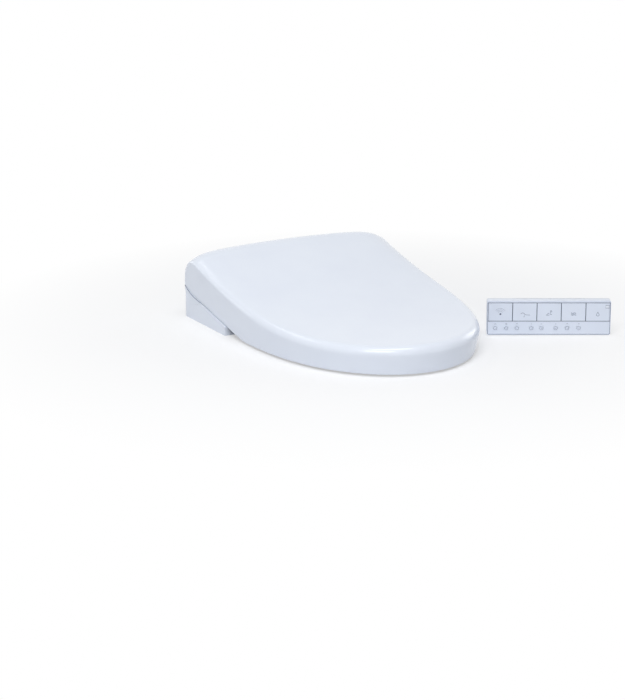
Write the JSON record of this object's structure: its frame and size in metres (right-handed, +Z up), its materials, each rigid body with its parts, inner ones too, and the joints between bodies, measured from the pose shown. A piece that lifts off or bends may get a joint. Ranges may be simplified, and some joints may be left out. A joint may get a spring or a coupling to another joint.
{
  "type": "electric bidet seat",
  "caption": "Electric bidet seat with soft-close lid, heated seat ring, retractable wash nozzle, warm-air dryer, mounting plate and bracketed remote control.",
  "frame": {"origin": "midway between the two bolt holes of the bowl, on the plane of the rim (underside of the mounting plate)", "axes": "+Z up, -Y to the front of the seat, +X to the user's left hand side when seated facing front (the right side seen from the front)"},
  "size_m": [0.5896, 0.542, 0.1225],
  "materials": {
    "gloss_white": "glossy moulded polypropylene, white with a cool tint",
    "satin_white": "satin moulded plastic",
    "inner_grey": "moulded grey plastic of inner parts",
    "dark_plastic": "dark moulded plastic of inner parts",
    "rubber": "soft light grey elastomer",
    "steel": "machined stainless steel",
    "brass": "turned brass",
    "board_green": "solder-masked glass-fibre board",
    "key_white": "satin plastic of the remote, white with a blue tint"
  },
  "bodies": {
    "base": {"mount_plate": "satin_white", "mount_bolt_left": "steel", "mount_bolt_right": "steel", "base_tray": "satin_white", "base_cover": "gloss_white", "water_heater": "inner_grey", "water_pump": "dark_plastic", "valve_block": "inner_grey", "water_inlet": "brass", "control_board": "board_green", "cord_inlet": "dark_plastic", "fan_housing": "dark_plastic", "dryer_duct": "dark_plastic", "nozzle_guide": "inner_grey", "nozzle_motor": "dark_plastic", "seat_damper": "dark_plastic", "lid_damper": "dark_plastic", "remote_bracket": "satin_white"},
    "seat": {"seat_upper": "gloss_white", "seat_lower": "satin_white", "seat_heater": "inner_grey", "seat_bumper_front_left": "rubber", "seat_bumper_front_right": "rubber", "seat_bumper_rear_left": "rubber", "seat_bumper_rear_right": "rubber", "seat_pivot_left": "steel", "seat_pivot_right": "steel"},
    "lid": {"lid_shell": "gloss_white", "lid_pivot_left": "inner_grey", "lid_pivot_right": "inner_grey", "lid_bumper_left": "rubber", "lid_bumper_right": "rubber"},
    "nozzle": {"nozzle_wand": "satin_white", "nozzle_tip": "gloss_white", "nozzle_cap": "gloss_white"},
    "pinion": {"nozzle_pinion": "steel"},
    "fan": {"fan_impeller": "inner_grey"},
    "flap": {"dryer_flap": "gloss_white"},
    "filter": {"deodorizer_filter": "gloss_white"},
    "release": {"release_button": "satin_white"},
    "power": {"power_button": "satin_white"},
    "remote": {"remote_front": "key_white", "remote_back": "satin_white", "remote_board": "board_green", "remote_cell_1": "steel", "remote_cell_2": "steel"},
    "battery_door": {"battery_cover": "satin_white"},
    "wash_1": {"wash_key_1": "key_white"},
    "wash_2": {"wash_key_2": "key_white"},
    "wash_3": {"wash_key_3": "key_white"},
    "wash_4": {"wash_key_4": "key_white"},
    "wash_5": {"wash_key_5": "key_white"},
    "small_1": {"small_key_1": "key_white"},
    "small_2": {"small_key_2": "key_white"},
    "small_3": {"small_key_3": "key_white"},
    "small_4": {"small_key_4": "key_white"},
    "small_5": {"small_key_5": "key_white"},
    "small_6": {"small_key_6": "key_white"},
    "small_7": {"small_key_7": "key_white"},
    "small_8": {"small_key_8": "key_white"}
  },
  "joints": [
    {"name": "seat_hinge", "type": "hinge", "parent": "base", "child": "seat", "pos_m": [0, 0.012, 0.0675], "axis": [1, 0, 0], "range_deg": [-95, 0]},
    {"name": "lid_hinge", "type": "hinge", "parent": "seat", "child": "lid", "pos_m": [0, 0.012, 0.0675], "axis": [-1, 0, 0], "range_deg": [0, 95]},
    {"name": "nozzle_slide", "type": "slide", "parent": "base", "child": "nozzle", "axis": [0, -0.9877, -0.1564], "range_m": [0, 0.078]},
    {"name": "pinion_spin", "type": "hinge", "parent": "base", "child": "pinion", "pos_m": [0, -0.04511, 0.04551], "axis": [-1, 0, 0], "range_deg": [0, 540]},
    {"name": "fan_spin", "type": "hinge", "parent": "base", "child": "fan", "pos_m": [0.084, -0.06, 0.015], "axis": [0, 0, 1], "continuous": true},
    {"name": "flap_hinge", "type": "hinge", "parent": "base", "child": "flap", "pos_m": [0.058, -0.1024, 0.0254], "axis": [-1, 0, 0], "range_deg": [0, 60], "stiffness_Nm_per_rad": 0.002},
    {"name": "filter_slide", "type": "slide", "parent": "base", "child": "filter", "axis": [1, 0, 0], "range_m": [0, 0.055]},
    {"name": "release_press", "type": "slide", "parent": "base", "child": "release", "axis": [-1, 0, 0], "range_m": [0, 0.003], "stiffness_N_per_m": 400},
    {"name": "power_press", "type": "slide", "parent": "base", "child": "power", "axis": [-1, 0, 0], "range_m": [0, 0.0015], "stiffness_N_per_m": 400},
    {"name": "remote_lift", "type": "slide", "parent": "base", "child": "remote", "axis": [0, 0, 1], "range_m": [0, 0.0065]},
    {"name": "battery_door_slide", "type": "slide", "parent": "remote", "child": "battery_door", "axis": [0, 0, 1], "range_m": [0, 0.03]},
    {"name": "wash_press_1", "type": "slide", "parent": "remote", "child": "wash_1", "axis": [0.4924, 0.8704, 0], "range_m": [0, 0.0007], "stiffness_N_per_m": 400},
    {"name": "wash_press_2", "type": "slide", "parent": "remote", "child": "wash_2", "axis": [0.4924, 0.8704, 0], "range_m": [0, 0.0007], "stiffness_N_per_m": 400},
    {"name": "wash_press_3", "type": "slide", "parent": "remote", "child": "wash_3", "axis": [0.4924, 0.8704, 0], "range_m": [0, 0.0007], "stiffness_N_per_m": 400},
    {"name": "wash_press_4", "type": "slide", "parent": "remote", "child": "wash_4", "axis": [0.4924, 0.8704, 0], "range_m": [0, 0.0007], "stiffness_N_per_m": 400},
    {"name": "wash_press_5", "type": "slide", "parent": "remote", "child": "wash_5", "axis": [0.4924, 0.8704, 0], "range_m": [0, 0.0007], "stiffness_N_per_m": 400},
    {"name": "small_press_1", "type": "slide", "parent": "remote", "child": "small_1", "axis": [0.4924, 0.8704, 0], "range_m": [0, 0.0007], "stiffness_N_per_m": 250},
    {"name": "small_press_2", "type": "slide", "parent": "remote", "child": "small_2", "axis": [0.4924, 0.8704, 0], "range_m": [0, 0.0007], "stiffness_N_per_m": 250},
    {"name": "small_press_3", "type": "slide", "parent": "remote", "child": "small_3", "axis": [0.4924, 0.8704, 0], "range_m": [0, 0.0007], "stiffness_N_per_m": 250},
    {"name": "small_press_4", "type": "slide", "parent": "remote", "child": "small_4", "axis": [0.4924, 0.8704, 0], "range_m": [0, 0.0007], "stiffness_N_per_m": 250},
    {"name": "small_press_5", "type": "slide", "parent": "remote", "child": "small_5", "axis": [0.4924, 0.8704, 0], "range_m": [0, 0.0007], "stiffness_N_per_m": 250},
    {"name": "small_press_6", "type": "slide", "parent": "remote", "child": "small_6", "axis": [0.4924, 0.8704, 0], "range_m": [0, 0.0007], "stiffness_N_per_m": 250},
    {"name": "small_press_7", "type": "slide", "parent": "remote", "child": "small_7", "axis": [0.4924, 0.8704, 0], "range_m": [0, 0.0007], "stiffness_N_per_m": 250},
    {"name": "small_press_8", "type": "slide", "parent": "remote", "child": "small_8", "axis": [0.4924, 0.8704, 0], "range_m": [0, 0.0007], "stiffness_N_per_m": 250}
  ],
  "couplings": [
    {"joint": "pinion_spin", "follows": "nozzle_slide", "rad_per_m": 119.05}
  ]
}
